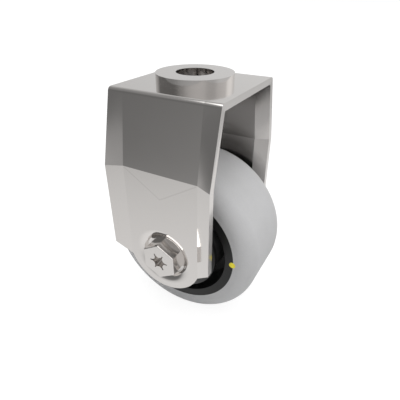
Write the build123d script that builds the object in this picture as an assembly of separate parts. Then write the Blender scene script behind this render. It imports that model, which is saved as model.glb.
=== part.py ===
from build123d import *
import os
from math import acos, atan2, cos, radians, sin, sqrt, tan

# Fixed caster with a bolt hole. Millimetres.
# Origin at the centre of the collar's top face, +Z up, +X the way it rolls, Y along the axle.
# The near leg is on the -Y side and holds the bolt head. The far leg holds the nut.

# Wheel
wheel_diameter = 50.0
wheel_width = 24.0
axle_drop = 48.4          # collar top down to the axle
shoulder_radius = 4.4     # rounding of the tread's two edges
tread_thickness = 5.9
rim_lip = 2.5             # width of the rim's flat side ring
tread_key_depth = 1.1     # groove in the rim that holds the tread
tread_key_land = 1.6      # full-height land each side of that groove
hub_setback = 0.8         # each end of the hub back from the tread's side
hub_wall = 2.2
hub_stop_step = 1.7       # how far the ring between the bearings stands in from their seats
web_thickness = 7.0
wall_draft = 0.5          # taper of the recess walls

# Mounting collar
bolt_hole = 10.0
spigot_wall = 1.7         # the part of the collar that goes through the plate
collar_flange = 3.6       # collar beyond the spigot
collar_height = 2.4
swage_height = 0.5        # lip turned over below the plate
swage_width = 0.8

# Fork
sheet = 1.8
fork_length = 31.5        # along X
wheel_leg_gap = 4.85      # from the tread's side to the leg's flat middle
leg_spread = 2.9          # how far a leg leans out between plate and crease
strip_lean = 2.05         # outer corners of the side strips beyond the flat middle
strip_width = 4.45        # side strip, outside the upright crease
crease_drop = 21.8        # crossways crease below the collar top
strip_rise = 1.25         # lower outer corners of the side strips above the axle
lobe_radius = 12.0
lobe_rise = 1.0           # centre of the leg's rounded end above the axle
fold_radius = 1.2         # outside of the plate fold
fold_inner_radius = 0.5

# Pressed dimple round the axle, a soft lip running into a tighter cove
dimple_depth = 1.75
dimple_lip = 2.9
dimple_cove = 1.2
dimple_play = 0.02        # flat floor beyond the nut's corners

# Axle
axle_diameter = 6.0
axle_play = 0.2           # hole in the legs and the tube over the axle
head_across_flats = 9.9
head_proud = 2.4          # head face beyond the leg face
head_turn = 31.4          # degrees, one corner of the hexagon above +X
head_edge = 0.18
star_points = 6
star_tip_radius = 2.8
star_root_radius = 1.62
star_tip_half_angle = 4.5
star_depth = 2.2
nut_across_flats = 10.0
nut_height = 4.2
nut_collar_wall = 0.5
nut_collar_height = 1.8
insert_wall = 0.9
thread_overhang = 0.8     # bolt end beyond the nut
thread_chamfer = 0.6

# Bearings
bearing_bore = 8.0
bearing_diameter = 22.0
bearing_width = 7.0
bearing_setback = 0.2     # outer face back from the hub's end
inner_ring_wall = 2.05    # at the shoulders
outer_ring_wall = 2.0
ball_count = 7
ball_diameter = 3.97
race_play = 0.075         # groove a little wider than a ball
seal_thickness = 0.6
seal_inset = 0.25
seal_step = 0.7           # outer ring cut back for the seal's edge
seal_play = 0.1
cage_thickness = 1.4
cage_back = 2.5           # from the ball centres back to the cage's closed side
cage_front = 1.2          # and forward to its open side
cage_play = 0.08

# Bushes, spacer and thread guards
bush_wall = 1.7
spacer_wall = 1.6
guard_overhang = 0.7      # guard's rim beyond the hub
guard_hub_gap = 0.6       # between the guard's rim and the hub's end
guard_rim = 1.2
guard_wall = 1.2
guard_flat_width = 3.9    # flat ring of the guard, outside the bush
guard_leg_gap = 0.3

# Marker dot on the near side, by the line where rim and tread meet
dot_diameter = 1.9
dot_inset = 0.25          # centre inside that line
dot_depth = 0.4

# Sizes that follow from the ones above
wheel_radius = wheel_diameter / 2
half_width = wheel_width / 2
rim_radius = wheel_radius - tread_thickness
hub_y = half_width - hub_setback
hub_radius = bearing_diameter / 2 + hub_wall
hub_stop_radius = bearing_diameter / 2 - hub_stop_step
dot_radius = rim_radius - dot_inset
spigot_diameter = bolt_hole + 2 * spigot_wall
collar_diameter = spigot_diameter + 2 * collar_flange
half_length = fork_length / 2
crease_x = half_length - strip_width
plate_top = -collar_height
plate_bottom = plate_top - sheet
leg_inner_y = half_width + wheel_leg_gap
leg_face_y = leg_inner_y + sheet
leg_edge_y = leg_face_y + strip_lean
fold_y = leg_face_y - leg_spread
strip_drop = axle_drop - strip_rise
lobe_drop = axle_drop - lobe_rise
dimple_floor_y = leg_face_y - dimple_depth
leg_pad_y = dimple_floor_y - sheet
nut_corner_radius = nut_across_flats / 2 / cos(radians(30))
dimple_floor_radius = nut_corner_radius + dimple_play
dimple_slope = acos(1 - dimple_depth / (dimple_lip + dimple_cove))
dimple_radius = dimple_floor_radius + (dimple_lip + dimple_cove) * sin(dimple_slope)
axle_hole = axle_diameter + axle_play
bearing_outer_y = hub_y - bearing_setback
bearing_inner_y = bearing_outer_y - bearing_width
bearing_centre = (bearing_outer_y + bearing_inner_y) / 2
pitch_radius = (bearing_bore + bearing_diameter) / 4
race_radius = ball_diameter / 2 + race_play
inner_shoulder_radius = bearing_bore / 2 + inner_ring_wall
outer_shoulder_radius = bearing_diameter / 2 - outer_ring_wall
seal_seat_radius = outer_shoulder_radius + seal_step
bush_radius = bearing_bore / 2 + bush_wall
spacer_radius = bearing_bore / 2 + spacer_wall
guard_radius = hub_radius + guard_overhang
guard_inner_y = hub_y + guard_hub_gap
guard_edge_y = guard_inner_y + guard_rim
guard_flat_radius = bush_radius + guard_flat_width
insert_outer_radius = axle_diameter / 2 + insert_wall
nut_collar_radius = insert_outer_radius + nut_collar_wall
nut_end_y = dimple_floor_y + nut_height + nut_collar_height
bolt_end_y = nut_end_y + thread_overhang
near_side = Plane.XZ


def turned(profile):
    """Ring turned about the axle. The profile is drawn as radius and y."""
    ring = revolve(make_face(profile), Axis.Y)
    return Pos(0, 0, -axle_drop) * ring


def turned_points(*points):
    """Ring with straight edges turned about the axle."""
    return turned(Polyline(*points, close=True))


def leg_slice(height, middle_y, edge_y):
    """Level slice through the near leg: flat middle, side strips leaning out."""
    lean = atan2(edge_y - middle_y, half_length - crease_x)
    inner_crease = crease_x + sheet * tan(lean / 2)
    inner_middle = middle_y - sheet
    inner_edge = inner_middle + (half_length - inner_crease) * tan(lean)
    outline = Polyline(
        (-half_length, -edge_y),
        (-crease_x, -middle_y),
        (crease_x, -middle_y),
        (half_length, -edge_y),
        (half_length, -inner_edge),
        (inner_crease, -inner_middle),
        (-inner_crease, -inner_middle),
        (-half_length, -inner_edge),
        close=True,
    )
    return Pos(0, 0, height) * make_face(outline)


def near_leg():
    """Leg that spreads from the plate to the crease, then drops straight."""
    at_plate = leg_slice(plate_top, fold_y, fold_y)
    at_crease = leg_slice(-crease_drop, leg_face_y, leg_edge_y)
    spread = loft([at_plate, at_crease], ruled=True)
    straight_length = lobe_drop + lobe_radius - crease_drop + sheet
    straight = extrude(at_crease, amount=straight_length, dir=(0, 0, -1))
    return spread + straight


def leg_outline():
    """Side view of the legs: side strips cut on a slant, round lower end."""
    lobe_start = lobe_drop + sqrt(lobe_radius**2 - crease_x**2)
    sides = Polyline(
        (-crease_x, -lobe_start),
        (-half_length, -strip_drop),
        (-half_length, 0),
        (half_length, 0),
        (half_length, -strip_drop),
        (crease_x, -lobe_start),
    )
    round_end = ThreePointArc((crease_x, -lobe_start), (0, -lobe_drop - lobe_radius), (-crease_x, -lobe_start))
    view = near_side * make_face(sides + round_end)
    return extrude(view, amount=leg_edge_y + sheet, both=True)


def dimple_wall(face_y, lip_r, cove_r):
    """One face of the dimple's wall, from the leg's flat down to its floor."""
    turn = dimple_slope
    half = turn / 2
    floor_y = face_y - dimple_depth
    start = (dimple_radius, face_y)
    lip_middle = (dimple_radius - lip_r * sin(half), face_y - lip_r * (1 - cos(half)))
    meeting = (dimple_radius - lip_r * sin(turn), face_y - lip_r * (1 - cos(turn)))
    cove_middle = (dimple_floor_radius + cove_r * sin(half), floor_y + cove_r * (1 - cos(half)))
    end = (dimple_floor_radius, floor_y)
    lip = ThreePointArc(start, lip_middle, meeting)
    cove = ThreePointArc(meeting, cove_middle, end)
    return [lip, cove]


def dimple_core(face_y, lip_r, cove_r, cap_y):
    """Solid between one face of the dimple's wall and a flat cap."""
    floor_y = face_y - dimple_depth
    wall = dimple_wall(face_y, lip_r, cove_r)
    rest = Polyline(
        (dimple_floor_radius, floor_y),
        (0, floor_y),
        (0, cap_y),
        (dimple_radius, cap_y),
        (dimple_radius, face_y),
    )
    return turned(wall + [rest])


def dimple_hollow():
    """What the dimple takes out of the far leg's outer side."""
    return dimple_core(leg_face_y, dimple_lip, dimple_cove, leg_edge_y + sheet)


def dimple_bulge():
    """Back of the dimple on the far leg's inner side, one sheet further in."""
    middle_y = leg_face_y - sheet / 2
    return dimple_core(leg_inner_y, dimple_lip - sheet, dimple_cove + sheet, middle_y)


def both_sides(part):
    """A far-side shape together with its near-side mirror image."""
    return part + mirror(part, Plane.XZ)


def fold_edges(body, height, beyond):
    """Edges along the two folds at one height, left out where they meet the ends."""
    level = body.edges().filter_by_position(Axis.Z, height - 0.01, height + 0.01)
    found = []
    for edge in level:
        middle = edge.center()
        if abs(middle.Y) > beyond and abs(middle.X) < half_length - sheet / 2:
            found.append(edge)
    return found


def fork():
    """Folded sheet: plate, two creased legs, pressed dimples and holes."""
    legs = both_sides(near_leg())
    plate_centre = (plate_top + plate_bottom) / 2
    plate = Pos(0, 0, plate_centre) * Box(fork_length, 2 * (fold_y - sheet / 2), sheet)
    body = (legs + plate) & leg_outline()
    body = fillet(fold_edges(body, plate_top, fold_y - sheet / 2), fold_radius)
    body = fillet(fold_edges(body, plate_bottom, fold_y - 2 * sheet), fold_inner_radius)
    body = body + both_sides(dimple_bulge()) - both_sides(dimple_hollow())
    through = Pos(0, 0, -axle_drop) * Rot(90, 0, 0) * Cylinder(axle_hole / 2, 4 * leg_face_y)
    collar_seat = Pos(0, 0, plate_centre) * Cylinder(spigot_diameter / 2, 2 * sheet)
    return body - through - collar_seat


def mounting_collar():
    """Turned ring on the plate, its spigot turned over under the sheet."""
    outer_r = collar_diameter / 2
    spigot_r = spigot_diameter / 2
    bore_r = bolt_hole / 2
    bottom = plate_bottom - swage_height
    profile = Polyline(
        (bore_r, 0),
        (outer_r, 0),
        (outer_r, plate_top),
        (spigot_r, plate_top),
        (spigot_r, plate_bottom),
        (spigot_r + swage_width, plate_bottom),
        (spigot_r, bottom),
        (bore_r, bottom),
        close=True,
    )
    return revolve(Plane.XZ * make_face(profile), Axis.Z)


def tread_seat():
    """Rim outline under the tread, from the far side face to the near one."""
    land = half_width - tread_key_land
    floor = rim_radius - tread_key_depth
    return [
        (rim_radius, half_width),
        (rim_radius, land),
        (floor, land - tread_key_depth),
        (floor, -land + tread_key_depth),
        (rim_radius, -land),
        (rim_radius, -half_width),
    ]


def dot_pocket():
    """Shallow round seat of the marker dot in the near side face."""
    centre = Pos(dot_radius, -half_width, -axle_drop) * Rot(90, 0, 0)
    return centre * Cylinder(dot_diameter / 2, 2 * dot_depth)


def tread():
    """Ring of soft rubber with two rounded shoulders."""
    flat = half_width - shoulder_radius
    side = wheel_radius - shoulder_radius
    turn = shoulder_radius * sqrt(0.5)
    far = ThreePointArc((side, half_width), (side + turn, flat + turn), (wheel_radius, flat))
    near = ThreePointArc((wheel_radius, -flat), (side + turn, -flat - turn), (side, -half_width))
    profile = [
        Polyline(*tread_seat()),
        Line((rim_radius, -half_width), (side, -half_width)),
        near,
        Line((wheel_radius, -flat), (wheel_radius, flat)),
        far,
        Line((side, half_width), (rim_radius, half_width)),
    ]
    return turned(profile) - dot_pocket()


def wheel_centre():
    """Plastic rim, web and hub with a bearing seat from each side."""
    lip_r = rim_radius - rim_lip
    web_y = web_thickness / 2
    seat_r = bearing_diameter / 2
    half = [
        (seat_r, bearing_inner_y),
        (seat_r, hub_y),
        (hub_radius, hub_y),
        (hub_radius + wall_draft / 2, web_y),
        (lip_r - wall_draft, web_y),
        (lip_r, half_width),
    ]
    other = [(r, -y) for r, y in reversed(half)]
    stop = [(hub_stop_radius, -bearing_inner_y), (hub_stop_radius, bearing_inner_y)]
    body = turned_points(*half, *tread_seat(), *other, *stop)
    return body - dot_pocket()


def marker_dot():
    """Yellow plug set in the near side face."""
    centre = Pos(dot_radius, -half_width + dot_depth / 2, -axle_drop) * Rot(90, 0, 0)
    return centre * Cylinder(dot_diameter / 2, dot_depth)


def race_groove():
    """Round groove swept by the balls, used to cut both rings."""
    section = Plane.XY * Pos(pitch_radius, bearing_centre) * Circle(race_radius)
    return Pos(0, 0, -axle_drop) * revolve(section, Axis.Y)


def inner_ring():
    """Bearing ring that sits still on the axle tube."""
    bore_r = bearing_bore / 2
    shoulder = inner_shoulder_radius
    blank = turned_points(
        (bore_r, bearing_inner_y),
        (shoulder, bearing_inner_y),
        (shoulder, bearing_outer_y),
        (bore_r, bearing_outer_y),
    )
    return blank - race_groove()


def outer_ring():
    """Bearing ring that turns with the hub, stepped for its seals."""
    outer_r = bearing_diameter / 2
    step = seal_inset + seal_thickness
    blank = turned_points(
        (outer_r, bearing_inner_y),
        (seal_seat_radius, bearing_inner_y),
        (seal_seat_radius, bearing_inner_y + step),
        (outer_shoulder_radius, bearing_inner_y + step),
        (outer_shoulder_radius, bearing_outer_y - step),
        (seal_seat_radius, bearing_outer_y - step),
        (seal_seat_radius, bearing_outer_y),
        (outer_r, bearing_outer_y),
    )
    return blank - race_groove()


def seals():
    """Two discs that close the gap between the rings."""
    inner_r = inner_shoulder_radius + seal_play
    first = bearing_inner_y + seal_inset
    last = bearing_outer_y - seal_inset - seal_thickness
    discs = []
    for y in (first, last):
        disc = turned_points(
            (inner_r, y),
            (seal_seat_radius, y),
            (seal_seat_radius, y + seal_thickness),
            (inner_r, y + seal_thickness),
        )
        discs.append(disc)
    return discs


def ball_places():
    """Centres of the balls on the pitch circle, poles along the axle."""
    step = 360 / ball_count
    places = []
    for index in range(ball_count):
        turn = radians((index + 0.5) * step)
        x = pitch_radius * cos(turn)
        z = pitch_radius * sin(turn) - axle_drop
        places.append(Pos(x, bearing_centre, z) * Rot(90, 0, 0))
    return places


def balls():
    """Separate balls that roll between the two rings."""
    return [place * Sphere(ball_diameter / 2) for place in ball_places()]


def cage():
    """Plastic crown with a pocket for each ball, open on one side."""
    inner_r = pitch_radius - cage_thickness / 2
    outer_r = pitch_radius + cage_thickness / 2
    back = bearing_centre - cage_back
    front = bearing_centre + cage_front
    ring = turned_points((inner_r, back), (outer_r, back), (outer_r, front), (inner_r, front))
    for place in ball_places():
        ring = ring - place * Sphere(ball_diameter / 2 + cage_play)
    return ring


def axle_tube():
    """Tube clamped between the two legs, with the bearings on it."""
    bore_r = axle_hole / 2
    outer_r = bearing_bore / 2
    return turned_points((bore_r, -leg_pad_y), (outer_r, -leg_pad_y), (outer_r, leg_pad_y), (bore_r, leg_pad_y))


def inner_spacer():
    """Sleeve that holds the two inner rings apart."""
    bore_r = bearing_bore / 2
    outer_r = spacer_radius
    end = bearing_inner_y
    return turned_points((bore_r, -end), (outer_r, -end), (outer_r, end), (bore_r, end))


def bush():
    """Distance bush from the inner ring out to the leg."""
    bore_r = bearing_bore / 2
    outer_r = bush_radius
    start = bearing_outer_y
    return turned_points((bore_r, start), (outer_r, start), (outer_r, leg_pad_y), (bore_r, leg_pad_y))


def thread_guard():
    """Shallow plastic cup on the bush that keeps thread out of the hub."""
    top = leg_pad_y - guard_leg_gap
    return turned_points(
        (bush_radius, top),
        (guard_flat_radius, top),
        (guard_radius, guard_edge_y),
        (guard_radius, guard_inner_y),
        (guard_radius - guard_wall, guard_inner_y),
        (guard_flat_radius - guard_wall / 2, top - guard_wall),
        (bush_radius, top - guard_wall),
    )


def star_outline():
    """Six-lobe recess: narrow tips joined by hollow curves."""
    pieces = []
    half = star_tip_half_angle
    step = 360 / star_points
    for index in range(star_points):
        tip = step * index
        start = _polar(star_tip_radius, tip - half)
        end = _polar(star_tip_radius, tip + half)
        middle = _polar(star_tip_radius, tip)
        root = _polar(star_root_radius, tip + step / 2)
        following = _polar(star_tip_radius, tip + step - half)
        pieces.append(ThreePointArc(start, middle, end))
        pieces.append(ThreePointArc(end, root, following))
    return make_face(pieces)


def _polar(radius, degrees):
    """Point at a radius and an angle."""
    return (radius * cos(radians(degrees)), radius * sin(radians(degrees)))


def axle_bolt():
    """Hexagon head in the near dimple and a shank to beyond the nut."""
    head_y = -(leg_face_y + head_proud)
    face = Plane(origin=(0, head_y, -axle_drop), x_dir=(1, 0, 0), z_dir=(0, -1, 0))
    corner_r = head_across_flats / 2 / cos(radians(30))
    hexagon = Rot(0, 0, head_turn) * RegularPolygon(corner_r, 6)
    head = extrude(face * hexagon, amount=-(leg_face_y + head_proud - dimple_floor_y))
    rim = head.faces().sort_by(Axis.Y)[0].edges()
    head = fillet(rim, head_edge)
    recess = extrude(face * star_outline(), amount=-star_depth)
    shank_r = axle_diameter / 2
    shank = turned_points(
        (0, -dimple_floor_y),
        (shank_r, -dimple_floor_y),
        (shank_r, bolt_end_y - thread_chamfer),
        (shank_r - thread_chamfer, bolt_end_y),
        (0, bolt_end_y),
    )
    return (head - recess) + shank


def axle_nut():
    """Hexagon nut in the far dimple with a collar for its locking ring."""
    base = Plane(origin=(0, dimple_floor_y, -axle_drop), x_dir=(1, 0, 0), z_dir=(0, 1, 0))
    hexagon = extrude(base * RegularPolygon(nut_corner_radius, 6), amount=nut_height)
    start = dimple_floor_y + nut_height
    bore_r = axle_diameter / 2
    collar = turned_points((bore_r, start), (nut_collar_radius, start), (nut_collar_radius, nut_end_y), (bore_r, nut_end_y))
    bore = turned_points((0, dimple_floor_y), (bore_r, dimple_floor_y), (bore_r, nut_end_y), (0, nut_end_y))
    seat = turned_points((0, start), (insert_outer_radius, start), (insert_outer_radius, nut_end_y), (0, nut_end_y))
    return hexagon + collar - bore - seat


def nut_insert():
    """Plastic locking ring pressed into the nut's collar."""
    start = dimple_floor_y + nut_height
    bore_r = axle_diameter / 2
    outer_r = insert_outer_radius
    return turned_points((bore_r, start), (outer_r, start), (outer_r, nut_end_y), (bore_r, nut_end_y))


def as_solids(shape):
    """A single shape, or a list of them as one group of solids."""
    if isinstance(shape, list):
        solids = []
        for item in shape:
            solids.extend(item.solids())
        return Compound(children=solids)
    return shape


def near(shape):
    """The near-side twin of a far-side piece."""
    if isinstance(shape, list):
        return [mirror(item, Plane.XZ) for item in shape]
    return mirror(shape, Plane.XZ)


pieces = {
    "fork": fork(),
    "mounting_collar": mounting_collar(),
    "axle_bolt": axle_bolt(),
    "axle_nut": axle_nut(),
    "nut_insert": nut_insert(),
    "axle_tube": axle_tube(),
    "inner_spacer": inner_spacer(),
    "tread": tread(),
    "wheel_centre": wheel_centre(),
    "marker_dot": marker_dot(),
}
paired = {
    "inner_ring": inner_ring(),
    "outer_ring": outer_ring(),
    "seals": seals(),
    "balls": balls(),
    "cage": cage(),
    "bush": bush(),
    "thread_guard": thread_guard(),
}
for name, shape in paired.items():
    pieces["far_" + name] = shape
    pieces["near_" + name] = near(shape)

os.makedirs("parts", exist_ok=True)
for name, shape in pieces.items():
    export_step(as_solids(shape), "parts/" + name + ".step")
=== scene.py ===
import math

import bpy
from mathutils import Matrix, Vector


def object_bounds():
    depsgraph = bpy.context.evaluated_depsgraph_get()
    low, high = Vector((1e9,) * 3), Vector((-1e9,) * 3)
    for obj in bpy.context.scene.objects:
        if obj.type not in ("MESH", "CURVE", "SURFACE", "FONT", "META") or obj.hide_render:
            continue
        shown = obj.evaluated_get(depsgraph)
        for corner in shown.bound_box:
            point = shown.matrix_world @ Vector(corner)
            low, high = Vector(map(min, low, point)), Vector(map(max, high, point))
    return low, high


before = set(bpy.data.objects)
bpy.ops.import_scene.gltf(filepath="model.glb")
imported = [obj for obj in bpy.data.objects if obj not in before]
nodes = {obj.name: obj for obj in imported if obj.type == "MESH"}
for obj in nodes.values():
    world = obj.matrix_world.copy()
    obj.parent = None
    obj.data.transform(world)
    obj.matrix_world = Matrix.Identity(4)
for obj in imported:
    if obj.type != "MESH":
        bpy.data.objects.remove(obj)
cad_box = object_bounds()

MM = 0.001
HALF_TURN = 180.0
FULL_TURN = 360.0
QUARTER_TURN = 90.0
WHITE = (1.0, 1.0, 1.0, 1.0)

# Camera: place in mm, turns in degrees, lens, sensor and near limit in mm
CAMERA_PLACE = (47.514, -81.986, 18.552)
CAMERA_YAW = 119.2239
CAMERA_PITCH = 31.1813
CAMERA_ROLL = 0.2935
CAMERA_LENS = 31.584
CAMERA_SENSOR = 36.0
CAMERA_NEAR = 5.0

# Heights taken from the imported model, in metres
floor_z = cad_box[0].z
tread_heights = [corner[2] for corner in nodes["tread"].bound_box]
axle_z = (min(tread_heights) + max(tread_heights)) / 2


class Tree:
    """Short way to write a node tree."""

    def __init__(self, owner):
        owner.use_nodes = True
        self.tree = owner.node_tree
        self.tree.nodes.clear()

    def node(self, kind, inputs=(), **settings):
        made = self.tree.nodes.new("ShaderNode" + kind)
        for name, value in settings.items():
            setattr(made, name, value)
        for key, value in dict(inputs).items():
            self.put(made.inputs[key], value)
        return made

    def put(self, socket, value):
        if isinstance(value, bpy.types.NodeSocket):
            self.tree.links.new(value, socket)
        elif isinstance(value, bpy.types.Node):
            self.tree.links.new(value.outputs[0], socket)
        else:
            socket.default_value = value

    def math(self, operation, *values, clamp=False):
        inputs = dict(enumerate(values))
        return self.node("Math", inputs, operation=operation, use_clamp=clamp).outputs[0]

    def plus(self, first, second):
        return self.math("ADD", first, second)

    def minus(self, first, second):
        return self.math("SUBTRACT", first, second)

    def times(self, *values):
        product = values[0]
        for value in values[1:]:
            product = self.math("MULTIPLY", product, value)
        return product

    def over(self, first, second, clamp=False):
        return self.math("DIVIDE", first, second, clamp=clamp)

    def absolute(self, value):
        return self.math("ABSOLUTE", value)

    def radius_mm(self, first, second):
        """Distance from an axis, from two coordinates in metres."""
        squares = self.plus(self.times(first, first), self.times(second, second))
        return self.over(self.math("SQRT", squares), MM)

    def split(self, vector):
        return self.node("SeparateXYZ", {0: vector}).outputs

    def grey(self, level):
        return self.node("CombineColor", {0: level, 1: level, 2: level})

    def scaled(self, color, scale):
        return self.node("VectorMath", {0: color, "Scale": scale}, operation="SCALE").outputs["Vector"]

    def mix(self, share, first, second):
        return self.node("Mix", {0: share, 2: first, 3: second}).outputs[0]

    def mix_colors(self, share, first, second):
        inputs = {0: share, 6: (*first, 1), 7: (*second, 1)}
        return self.node("Mix", inputs, data_type="RGBA").outputs[2]

    def ramp(self, value, low, high, to_low=0.0, to_high=1.0, kind="SMOOTHSTEP"):
        inputs = {"Value": value, "From Min": low, "From Max": high, "To Min": to_low, "To Max": to_high}
        return self.node("MapRange", inputs, interpolation_type=kind).outputs[0]

    def between(self, share, first, second):
        """Straight change from first to second as share goes from 0 to 1."""
        return self.ramp(share, 0.0, 1.0, first, second, kind="LINEAR")

    def curve(self, value, points):
        """Smooth curve through (position, level) points, with positions from 0 to 1."""
        made = self.node("FloatCurve", {"Value": value})
        line = made.mapping.curves[0]
        for place, level in points[1:-1]:
            line.points.new(place, level)
        for point, (place, level) in zip(line.points, points):
            point.location = (place, level)
            point.handle_type = "AUTO_CLAMPED"
        made.mapping.update()
        return made.outputs[0]

    def noise(self, place, scale, detail, rough=0.5):
        inputs = {"Vector": place, "Scale": scale, "Detail": detail, "Roughness": rough}
        return self.node("TexNoise", inputs).outputs[0]

    def principled(self, color, rough, inputs=()):
        shader = self.node("BsdfPrincipled", {"Base Color": color, "Roughness": rough, **dict(inputs)})
        self.node("OutputMaterial", {"Surface": shader})


# Brightness of the walls below and above eye level, by azimuth in degrees
LOW_WALL = (
    (-180, 0.21), (-145, 0.18), (-120, 0.235), (-95, 0.35), (-60, 0.415), (-10, 0.42),
    (15, 0.58), (112, 0.60), (142, 0.43), (165, 0.22), (180, 0.21),
)
HIGH_WALL = (
    (-180, 0.19), (-130, 0.175), (-100, 0.36), (-45, 0.67), (-15, 0.54), (10, 0.69),
    (37, 0.81), (57, 1.16), (85, 0.82), (130, 0.66), (155, 0.53), (180, 0.18),
)
WALL_BLEND = 12.0                # degrees either side of eye level where the two meet
HIGH_FADE_BAND = (16.0, 42.0)    # elevations over which the high wall fades
HIGH_FADE = 0.72                 # to this share

# Share of the floor in what is mirrored, by degrees below the horizon
FLOOR = ((0, 0.0), (7, 0.01), (12, 0.07), (20, 0.42), (30, 0.725), (46, 0.915), (60, 0.985), (90, 1.0))
FLOOR_LEVEL = 0.94
FLOOR_BRIGHT = 0.14              # it is this much brighter
FLOOR_BRIGHT_TURN = 66.0         # towards this azimuth
FLOOR_BRIGHT_FOCUS = 3.0
FLOOR_LIFT = 0.8                 # it starts this many degrees higher on the left
FLOOR_SHIFT = 1.9                # and this many lower in front
LEFT_TO_FRONT = (-146.0, -122.0)
FRONT_TO_RIGHT = (-60.0, -30.0)

# Ceiling panel: brightness by distance from its centre, 1 being its edge
PANEL = (
    (0.0, 3.4), (0.2, 3.3), (0.5, 2.9), (0.88, 2.5), (0.95, 2.0), (1.0, 1.3), (1.06, 0.68),
    (1.14, 0.40), (1.30, 0.28), (1.60, 0.20), (2.0, 0.12), (2.6, 0.05), (3.5, 0.0), (4.0, 0.0),
)
# How far it hides the walls behind it, by the same distance
COVER = ((0.0, 1.0), (1.15, 1.0), (1.35, 0.5), (1.7, 0.25), (2.6, 0.0), (4.0, 0.0))
PANEL_REACH = 4.0                # distance at the end of both curves
PANEL_MIDDLE = (0.065, -0.10)    # its place in x and y, on a ceiling one unit up
PANEL_HALF = 0.585               # half its width on that ceiling
PANEL_SQUARENESS = 4.0           # 2 is a circle, more is squarer
LEAST_RISE = 0.02                # keeps level directions away from a division by zero

# Tall soft panel in front on the right, in degrees
SIDE_TURN = -20.0
SIDE_EDGE = (20.0, 32.0)         # it fades between these turns from its middle
SIDE_FOOT = (18.0, 24.0)
SIDE_HEAD = (50.0, 58.0)
SIDE_LEVEL = 0.5


def walls(t, azimuth, elevation):
    """Walls that change round the room and blend from low to high at eye level."""
    turn = t.over(t.plus(azimuth, HALF_TURN), FULL_TURN)
    low, high = (
        t.curve(turn, [((place + HALF_TURN) / FULL_TURN, level) for place, level in wall])
        for wall in (LOW_WALL, HIGH_WALL)
    )
    high = t.times(high, t.ramp(elevation, *HIGH_FADE_BAND, 1.0, HIGH_FADE))
    return t.mix(t.ramp(elevation, -WALL_BLEND, WALL_BLEND), low, high)


def mirrored_floor(t, azimuth, elevation):
    """Share of the floor in a direction, and its brightness there."""
    shift = t.ramp(azimuth, *LEFT_TO_FRONT, -FLOOR_LIFT, FLOOR_SHIFT)
    shift = t.times(shift, t.ramp(azimuth, *FRONT_TO_RIGHT, 1.0, 0.0))
    drop = t.over(t.plus(elevation, shift), -QUARTER_TURN, clamp=True)
    share = t.curve(drop, [(place / QUARTER_TURN, level) for place, level in FLOOR])
    facing = t.math("COSINE", t.math("RADIANS", t.minus(azimuth, FLOOR_BRIGHT_TURN)))
    facing = t.math("POWER", t.math("MAXIMUM", facing, 0.0), FLOOR_BRIGHT_FOCUS)
    return share, t.plus(FLOOR_LEVEL, t.times(facing, FLOOR_BRIGHT))


def ceiling_panel(t, x, y, z):
    """Brightness of the panel in a direction, and how much of the room it hides."""
    rise = t.math("MAXIMUM", z, LEAST_RISE)
    powers = []
    for flat, middle in zip((x, y), PANEL_MIDDLE):
        aside = t.over(t.minus(t.over(flat, rise), middle), PANEL_HALF)
        powers.append(t.math("POWER", t.absolute(aside), PANEL_SQUARENESS))
    distance = t.math("POWER", t.plus(*powers), 1 / PANEL_SQUARENESS)
    away = t.over(distance, PANEL_REACH, clamp=True)
    peak = PANEL[0][1]
    glow = t.curve(away, [(place / PANEL_REACH, level / peak) for place, level in PANEL])
    cover = t.curve(away, [(place / PANEL_REACH, share) for place, share in COVER])
    return t.times(glow, peak), cover


def side_panel(t, azimuth, elevation):
    """Light that the tall soft panel adds."""
    across = t.ramp(t.absolute(t.minus(azimuth, SIDE_TURN)), *SIDE_EDGE, 1.0, 0.0)
    upright = t.times(t.ramp(elevation, *SIDE_FOOT), t.ramp(elevation, *SIDE_HEAD, 1.0, 0.0))
    return t.times(across, upright, SIDE_LEVEL)


def studio():
    """White backdrop for the camera; soft room of graded panels for light and gloss."""
    world = bpy.data.worlds.new("studio")
    bpy.context.scene.world = world
    t = Tree(world)
    x, y, z = t.split(t.node("TexCoord").outputs["Generated"])
    elevation = t.math("DEGREES", t.math("ARCSINE", z))
    azimuth = t.math("DEGREES", t.math("ARCTAN2", y, x))
    share, bright = mirrored_floor(t, azimuth, elevation)
    room = t.mix(share, walls(t, azimuth, elevation), bright)
    room = t.plus(room, side_panel(t, azimuth, elevation))
    glow, cover = ceiling_panel(t, x, y, z)
    level = t.plus(t.times(room, t.minus(1.0, cover)), glow)
    lit = t.node("Background", {"Color": level, "Strength": 1.0})
    white = t.node("Background", {"Color": WHITE, "Strength": 1.0})
    shown = t.node("MixShader", {0: t.node("LightPath").outputs["Is Camera Ray"], 1: lit, 2: white})
    t.node("OutputWorld", {"Surface": shown})


# Floor: sizes in metres
PAPER_SIZE = 6.0
PAPER_FADE = (0.08, 0.45)        # distances from the middle between which it darkens
PAPER_PALE = 0.70
PAPER_DIM = 0.28
PAPER_GLOW = 0.88                # its own light in the camera's view
PAPER_SHADE = (0.2, 0.2, 0.2, 1.0)    # and the part of it that takes a shadow


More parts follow.
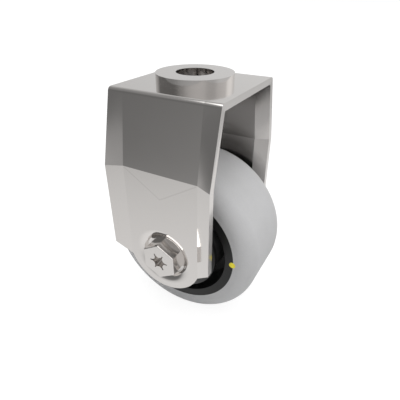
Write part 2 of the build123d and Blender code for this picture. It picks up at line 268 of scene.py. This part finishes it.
def floor():
    """Nearly white in view, with the object's shadow; graded paper for soft light.

    Gloss passes through it, since the studio already holds the mirrored floor.
    """
    bpy.ops.mesh.primitive_plane_add(size=PAPER_SIZE, location=(0, 0, floor_z))
    made = bpy.context.object
    made.name = "floor"
    material = bpy.data.materials.new("floor_paper")
    t = Tree(material)
    ray = t.node("LightPath")
    place = t.node("TexCoord").outputs["Object"]
    away = t.node("VectorMath", {0: place}, operation="LENGTH").outputs["Value"]
    shade = t.ramp(away, *PAPER_FADE, PAPER_PALE, PAPER_DIM)
    paper = t.node("BsdfDiffuse", {"Color": t.grey(shade)})
    clear = t.node("BsdfTransparent")
    lighting = t.node("MixShader", {0: ray.outputs["Is Glossy Ray"], 1: paper, 2: clear})
    glow = t.node("Emission", {"Color": WHITE, "Strength": PAPER_GLOW})
    shadow = t.node("BsdfDiffuse", {"Color": PAPER_SHADE})
    white = t.node("AddShader", {0: glow, 1: shadow})
    shown = t.node("MixShader", {0: ray.outputs["Is Camera Ray"], 1: lighting, 2: white})
    t.node("OutputMaterial", {"Surface": shown})
    made.data.materials.append(material)


def camera():
    """Camera fitted to the outlines in the photograph."""
    yaw, pitch, roll = (math.radians(a) for a in (CAMERA_YAW, CAMERA_PITCH, CAMERA_ROLL))
    level = Vector((math.cos(yaw), math.sin(yaw), 0))
    ahead = level * math.cos(pitch) - Vector((0, 0, math.sin(pitch)))
    right = ahead.cross(Vector((0, 0, 1))).normalized()
    up = right.cross(ahead)
    side = right * math.cos(roll) + up * math.sin(roll)
    top = up * math.cos(roll) - right * math.sin(roll)
    data = bpy.data.cameras.new("camera")
    data.lens = CAMERA_LENS
    data.sensor_width = CAMERA_SENSOR
    data.clip_start = CAMERA_NEAR * MM
    made = bpy.data.objects.new("camera", data)
    turn = Matrix((side, top, -ahead)).transposed().to_4x4()
    made.matrix_world = Matrix.Translation(Vector(CAMERA_PLACE) * MM) @ turn
    bpy.context.scene.collection.objects.link(made)
    bpy.context.scene.camera = made


# Materials: colours are linear, lengths in mm, noise scales in cycles a metre
STEEL = (0.700, 0.675, 0.655)
INNER_STEEL = (0.60, 0.59, 0.58)
BEARING_STEEL = (0.62, 0.62, 0.64)
RUBBER = (0.560, 0.560, 0.565)
SEAL_BLACK = (0.03, 0.03, 0.03)
GUARD_BLACK = (0.011, 0.011, 0.011)
CAGE_BROWN = (0.50, 0.42, 0.28)
INSERT_WHITE = (0.7, 0.7, 0.66)
DOT_YELLOW = (1.0, 0.86, 0.035)

CLOUD = (0.3, 0.7)               # the part of a noise's range that is used
STEEL_CLOUD = (180.0, 3.0, 0.55)     # scale, detail and roughness of a noise
STEEL_TONES = (0.985, 1.015)
STEEL_SPREAD = 0.15              # share by which the polish of steel varies
PLASTIC_CLOUD = (350.0, 4.0, 0.6)
PLASTIC_TONES = (0.9, 1.1)
PLASTIC_GRAIN = (9000.0, 2.0)
PLASTIC_SPREAD = 0.1
PLASTIC_PITS = 0.15              # strength of the fine grain
PIT_DEPTH = 0.02

FORK_ROUGH = 0.09
CUT_ROUGH = 0.08                 # the cut edges are this much rougher
CUT_TONE = 0.97
CUT_FACING = (0.75, 0.9)         # they are the faces turned this far to the side
INNER_ROUGH = 0.11               # the inner faces are this much rougher
# painted shade on the inner faces of the legs, which lie between the legs and the wheel
INNER_PAINTED_SHADE = 0.82
VEE_HALF = 11.0                  # the V line of painted shade runs from the ends of the crease
VEE_LOW = -29.0                  # down to this height
VEE_RISE = 6.9
VEE_LINE = (0.09, 0.3)           # it fades between these distances from its middle line
VEE_FACE = 17.5                  # on the outer faces only, this far from the middle
# how dark the painted shade of the V line is
VEE_PAINTED_SHADE = 0.07

COLLAR_ROUGH = 0.11
BORE_EDGE = (5.12, 5.18)         # radii between which the bore ends
# painted shade inside the collar's bore
BORE_PAINTED_SHADE = 0.80
BOLT_ROUGH = 0.10
INNER_STEEL_ROUGH = 0.25
BEARING_ROUGH = 0.08

RECESS_EDGE = (16.2, 16.5)       # radii between which the wheel's recess ends
RING_SHADE = 0.012
RECESS_SHADE = 0.055
CENTRE_ROUGH = (0.42, 0.48)
CENTRE_GRAIN = (7000.0, 2.0)
CENTRE_SPECULAR = 0.33

TREAD_CLOUD = (260.0, 4.0, 0.6)
TREAD_TONES = (0.985, 1.015)
TREAD_PORES = (5200.0, 3.0, 0.65)
PORE_RANGE = (0.35, 0.65)
PORE_TONES = (0.965, 1.035)
PORE_SHARE = 0.7                 # of the relief; the turning rings have the rest
TREAD_RINGS = (2600.0, 1.0)
TREAD_ROUGH = (0.60, 0.70)
TREAD_PITS = 0.2
TREAD_SPECULAR = 0.12


def new_material(name):
    """Material with its tree and the piece's own coordinates."""
    material = bpy.data.materials.new(name)
    t = Tree(material)
    return material, t, t.node("TexCoord")


def around(middle, spread):
    return middle * (1 - spread), middle * (1 + spread)


def shades(color, tones):
    """A colour made darker and lighter."""
    return ([part * tone for part in color] for tone in tones)


def pits(t, height, strength):
    return t.node("Bump", {"Height": height, "Strength": strength, "Distance": PIT_DEPTH * MM}).outputs[0]


def steel(name, color, rough):
    """Bright steel with a slight change of tone and polish."""
    material, t, coords = new_material(name)
    cloud = t.noise(coords.outputs["Object"], *STEEL_CLOUD)
    gloss = t.ramp(cloud, *CLOUD, *around(rough, STEEL_SPREAD))
    t.principled(t.mix_colors(cloud, *shades(color, STEEL_TONES)), gloss, {"Metallic": 1.0})
    return material


def vee_shade_line(t, x, y, z):
    """Where the fine V line of painted shade lies on the outer face of each leg; it stands in for the
    shading of a faint crease.
    """
    side = t.over(t.absolute(x), MM)
    height = t.minus(t.over(z, MM), VEE_LOW)
    slope = math.atan2(VEE_RISE, VEE_HALF)
    across = t.minus(t.times(height, math.cos(slope)), t.times(side, math.sin(slope)))
    near = t.ramp(t.absolute(across), *VEE_LINE, 1.0, 0.0)
    within = t.math("LESS_THAN", side, VEE_HALF)
    outside = t.math("GREATER_THAN", t.over(t.absolute(y), MM), VEE_FACE)
    return t.times(near, within, outside)


def pressed_fork(name):
    """Bright sheet steel with duller cut edges, rougher inner faces darkened by painted shade, and a fine
    V line of painted shade.
    """
    material, t, coords = new_material(name)
    place = coords.outputs["Object"]
    x, y, z = t.split(place)
    facing_x, facing_y, _ = t.split(coords.outputs["Normal"])
    cloud = t.noise(place, *STEEL_CLOUD)
    cut = t.ramp(t.absolute(facing_x), *CUT_FACING)
    inner = t.math("LESS_THAN", t.times(facing_y, y), 0.0)
    gloss = t.ramp(cloud, *CLOUD, *around(FORK_ROUGH, STEEL_SPREAD))
    gloss = t.plus(gloss, t.times(cut, CUT_ROUGH))
    gloss = t.plus(gloss, t.times(inner, INNER_ROUGH))
    tone = t.times(
        # painted shade along the V line
        t.minus(1.0, t.times(vee_shade_line(t, x, y, z), VEE_PAINTED_SHADE)),
        t.between(cut, 1.0, CUT_TONE),
        # painted shade darkens the inner faces
        t.between(inner, 1.0, INNER_PAINTED_SHADE),
        t.between(cloud, *STEEL_TONES),
    )
    t.principled(t.scaled(STEEL, tone), gloss, {"Metallic": 1.0})
    return material


def turned_collar(name):
    """Bright turned steel with painted shade in the bore."""
    material, t, coords = new_material(name)
    place = coords.outputs["Object"]
    x, y, _ = t.split(place)
    cloud = t.noise(place, *STEEL_CLOUD)
    bore = t.ramp(t.radius_mm(x, y), *BORE_EDGE, 1.0, 0.0)
    gloss = t.ramp(cloud, *CLOUD, *around(COLLAR_ROUGH, STEEL_SPREAD))
    # painted shade darkens the bore
    tone = t.times(t.between(bore, 1.0, BORE_PAINTED_SHADE), t.between(cloud, *STEEL_TONES))
    t.principled(t.scaled(STEEL, tone), gloss, {"Metallic": 1.0})
    return material


def plastic(name, color, rough, specular=0.5):
    """Moulded plastic with a fine grain and a slight change of tone and polish."""
    material, t, coords = new_material(name)
    place = coords.outputs["Object"]
    cloud = t.noise(place, *PLASTIC_CLOUD)
    dents = pits(t, t.noise(place, *PLASTIC_GRAIN), PLASTIC_PITS)
    gloss = t.ramp(cloud, *CLOUD, *around(rough, PLASTIC_SPREAD))
    tint = t.mix_colors(cloud, *shades(color, PLASTIC_TONES))
    t.principled(tint, gloss, {"Normal": dents, "Specular IOR Level": specular})
    return material


def moulded_centre(name):
    """Black moulded plastic: smooth side ring, slightly greyer recess, fine grain."""
    material, t, coords = new_material(name)
    place = coords.outputs["Object"]
    x, _, z = t.split(place)
    recess = t.ramp(t.radius_mm(x, t.minus(z, axle_z)), *RECESS_EDGE, 1.0, 0.0)
    cloud = t.noise(place, *PLASTIC_CLOUD)
    shade = t.times(t.between(recess, RING_SHADE, RECESS_SHADE), t.ramp(cloud, *CLOUD, *PLASTIC_TONES))
    gloss = t.ramp(cloud, *CLOUD, *CENTRE_ROUGH)
    dents = pits(t, t.noise(place, *CENTRE_GRAIN), PLASTIC_PITS)
    t.principled(t.grey(shade), gloss, {"Normal": dents, "Specular IOR Level": CENTRE_SPECULAR})
    return material


def moulded_tread(name):
    """Grey rubber: matt, finely pored, with faint rings left by turning."""
    material, t, coords = new_material(name)
    place = coords.outputs["Object"]
    _, y, _ = t.split(place)
    cloud = t.noise(place, *TREAD_CLOUD)
    pores = t.noise(place, *TREAD_PORES)
    rings = t.noise(t.node("CombineXYZ", {0: 0.0, 1: y, 2: 0.0}), *TREAD_RINGS)
    tone = t.times(t.ramp(pores, *PORE_RANGE, *PORE_TONES), t.ramp(cloud, *CLOUD, *TREAD_TONES))
    relief = t.plus(t.times(pores, PORE_SHARE), t.times(rings, 1 - PORE_SHARE))
    gloss = t.ramp(cloud, *CLOUD, *TREAD_ROUGH)
    dents = pits(t, relief, TREAD_PITS)
    t.principled(t.scaled(RUBBER, tone), gloss, {"Normal": dents, "Specular IOR Level": TREAD_SPECULAR})
    return material


def dress(material, *names):
    """Gives the named pieces their material."""
    for name in names:
        data = nodes[name].data
        data.materials.clear()
        data.materials.append(material)


dress(pressed_fork("fork_steel"), "fork")
dress(turned_collar("collar_steel"), "mounting_collar")
dress(steel("bolt_steel", STEEL, BOLT_ROUGH), "axle_bolt", "axle_nut")
dress(
    steel("inner_steel", INNER_STEEL, INNER_STEEL_ROUGH),
    "axle_tube", "inner_spacer", "near_bush", "far_bush",
)
dress(
    steel("bearing_steel", BEARING_STEEL, BEARING_ROUGH),
    "near_inner_ring", "far_inner_ring", "near_outer_ring", "far_outer_ring", "near_balls", "far_balls",
)
dress(moulded_centre("centre_plastic"), "wheel_centre")
dress(moulded_tread("tread_rubber"), "tread")
dress(
    plastic("guard_plastic", GUARD_BLACK, rough=0.4, specular=0.30),
    "near_thread_guard", "far_thread_guard",
)
dress(plastic("seal_rubber", SEAL_BLACK, rough=0.6), "near_seals", "far_seals")
dress(plastic("cage_plastic", CAGE_BROWN, rough=0.5), "near_cage", "far_cage")
dress(plastic("insert_plastic", INSERT_WHITE, rough=0.5), "nut_insert")
dress(plastic("dot_yellow", DOT_YELLOW, rough=0.45), "marker_dot")

studio()
floor()
camera()
bpy.context.scene.view_settings.view_transform = "Standard"
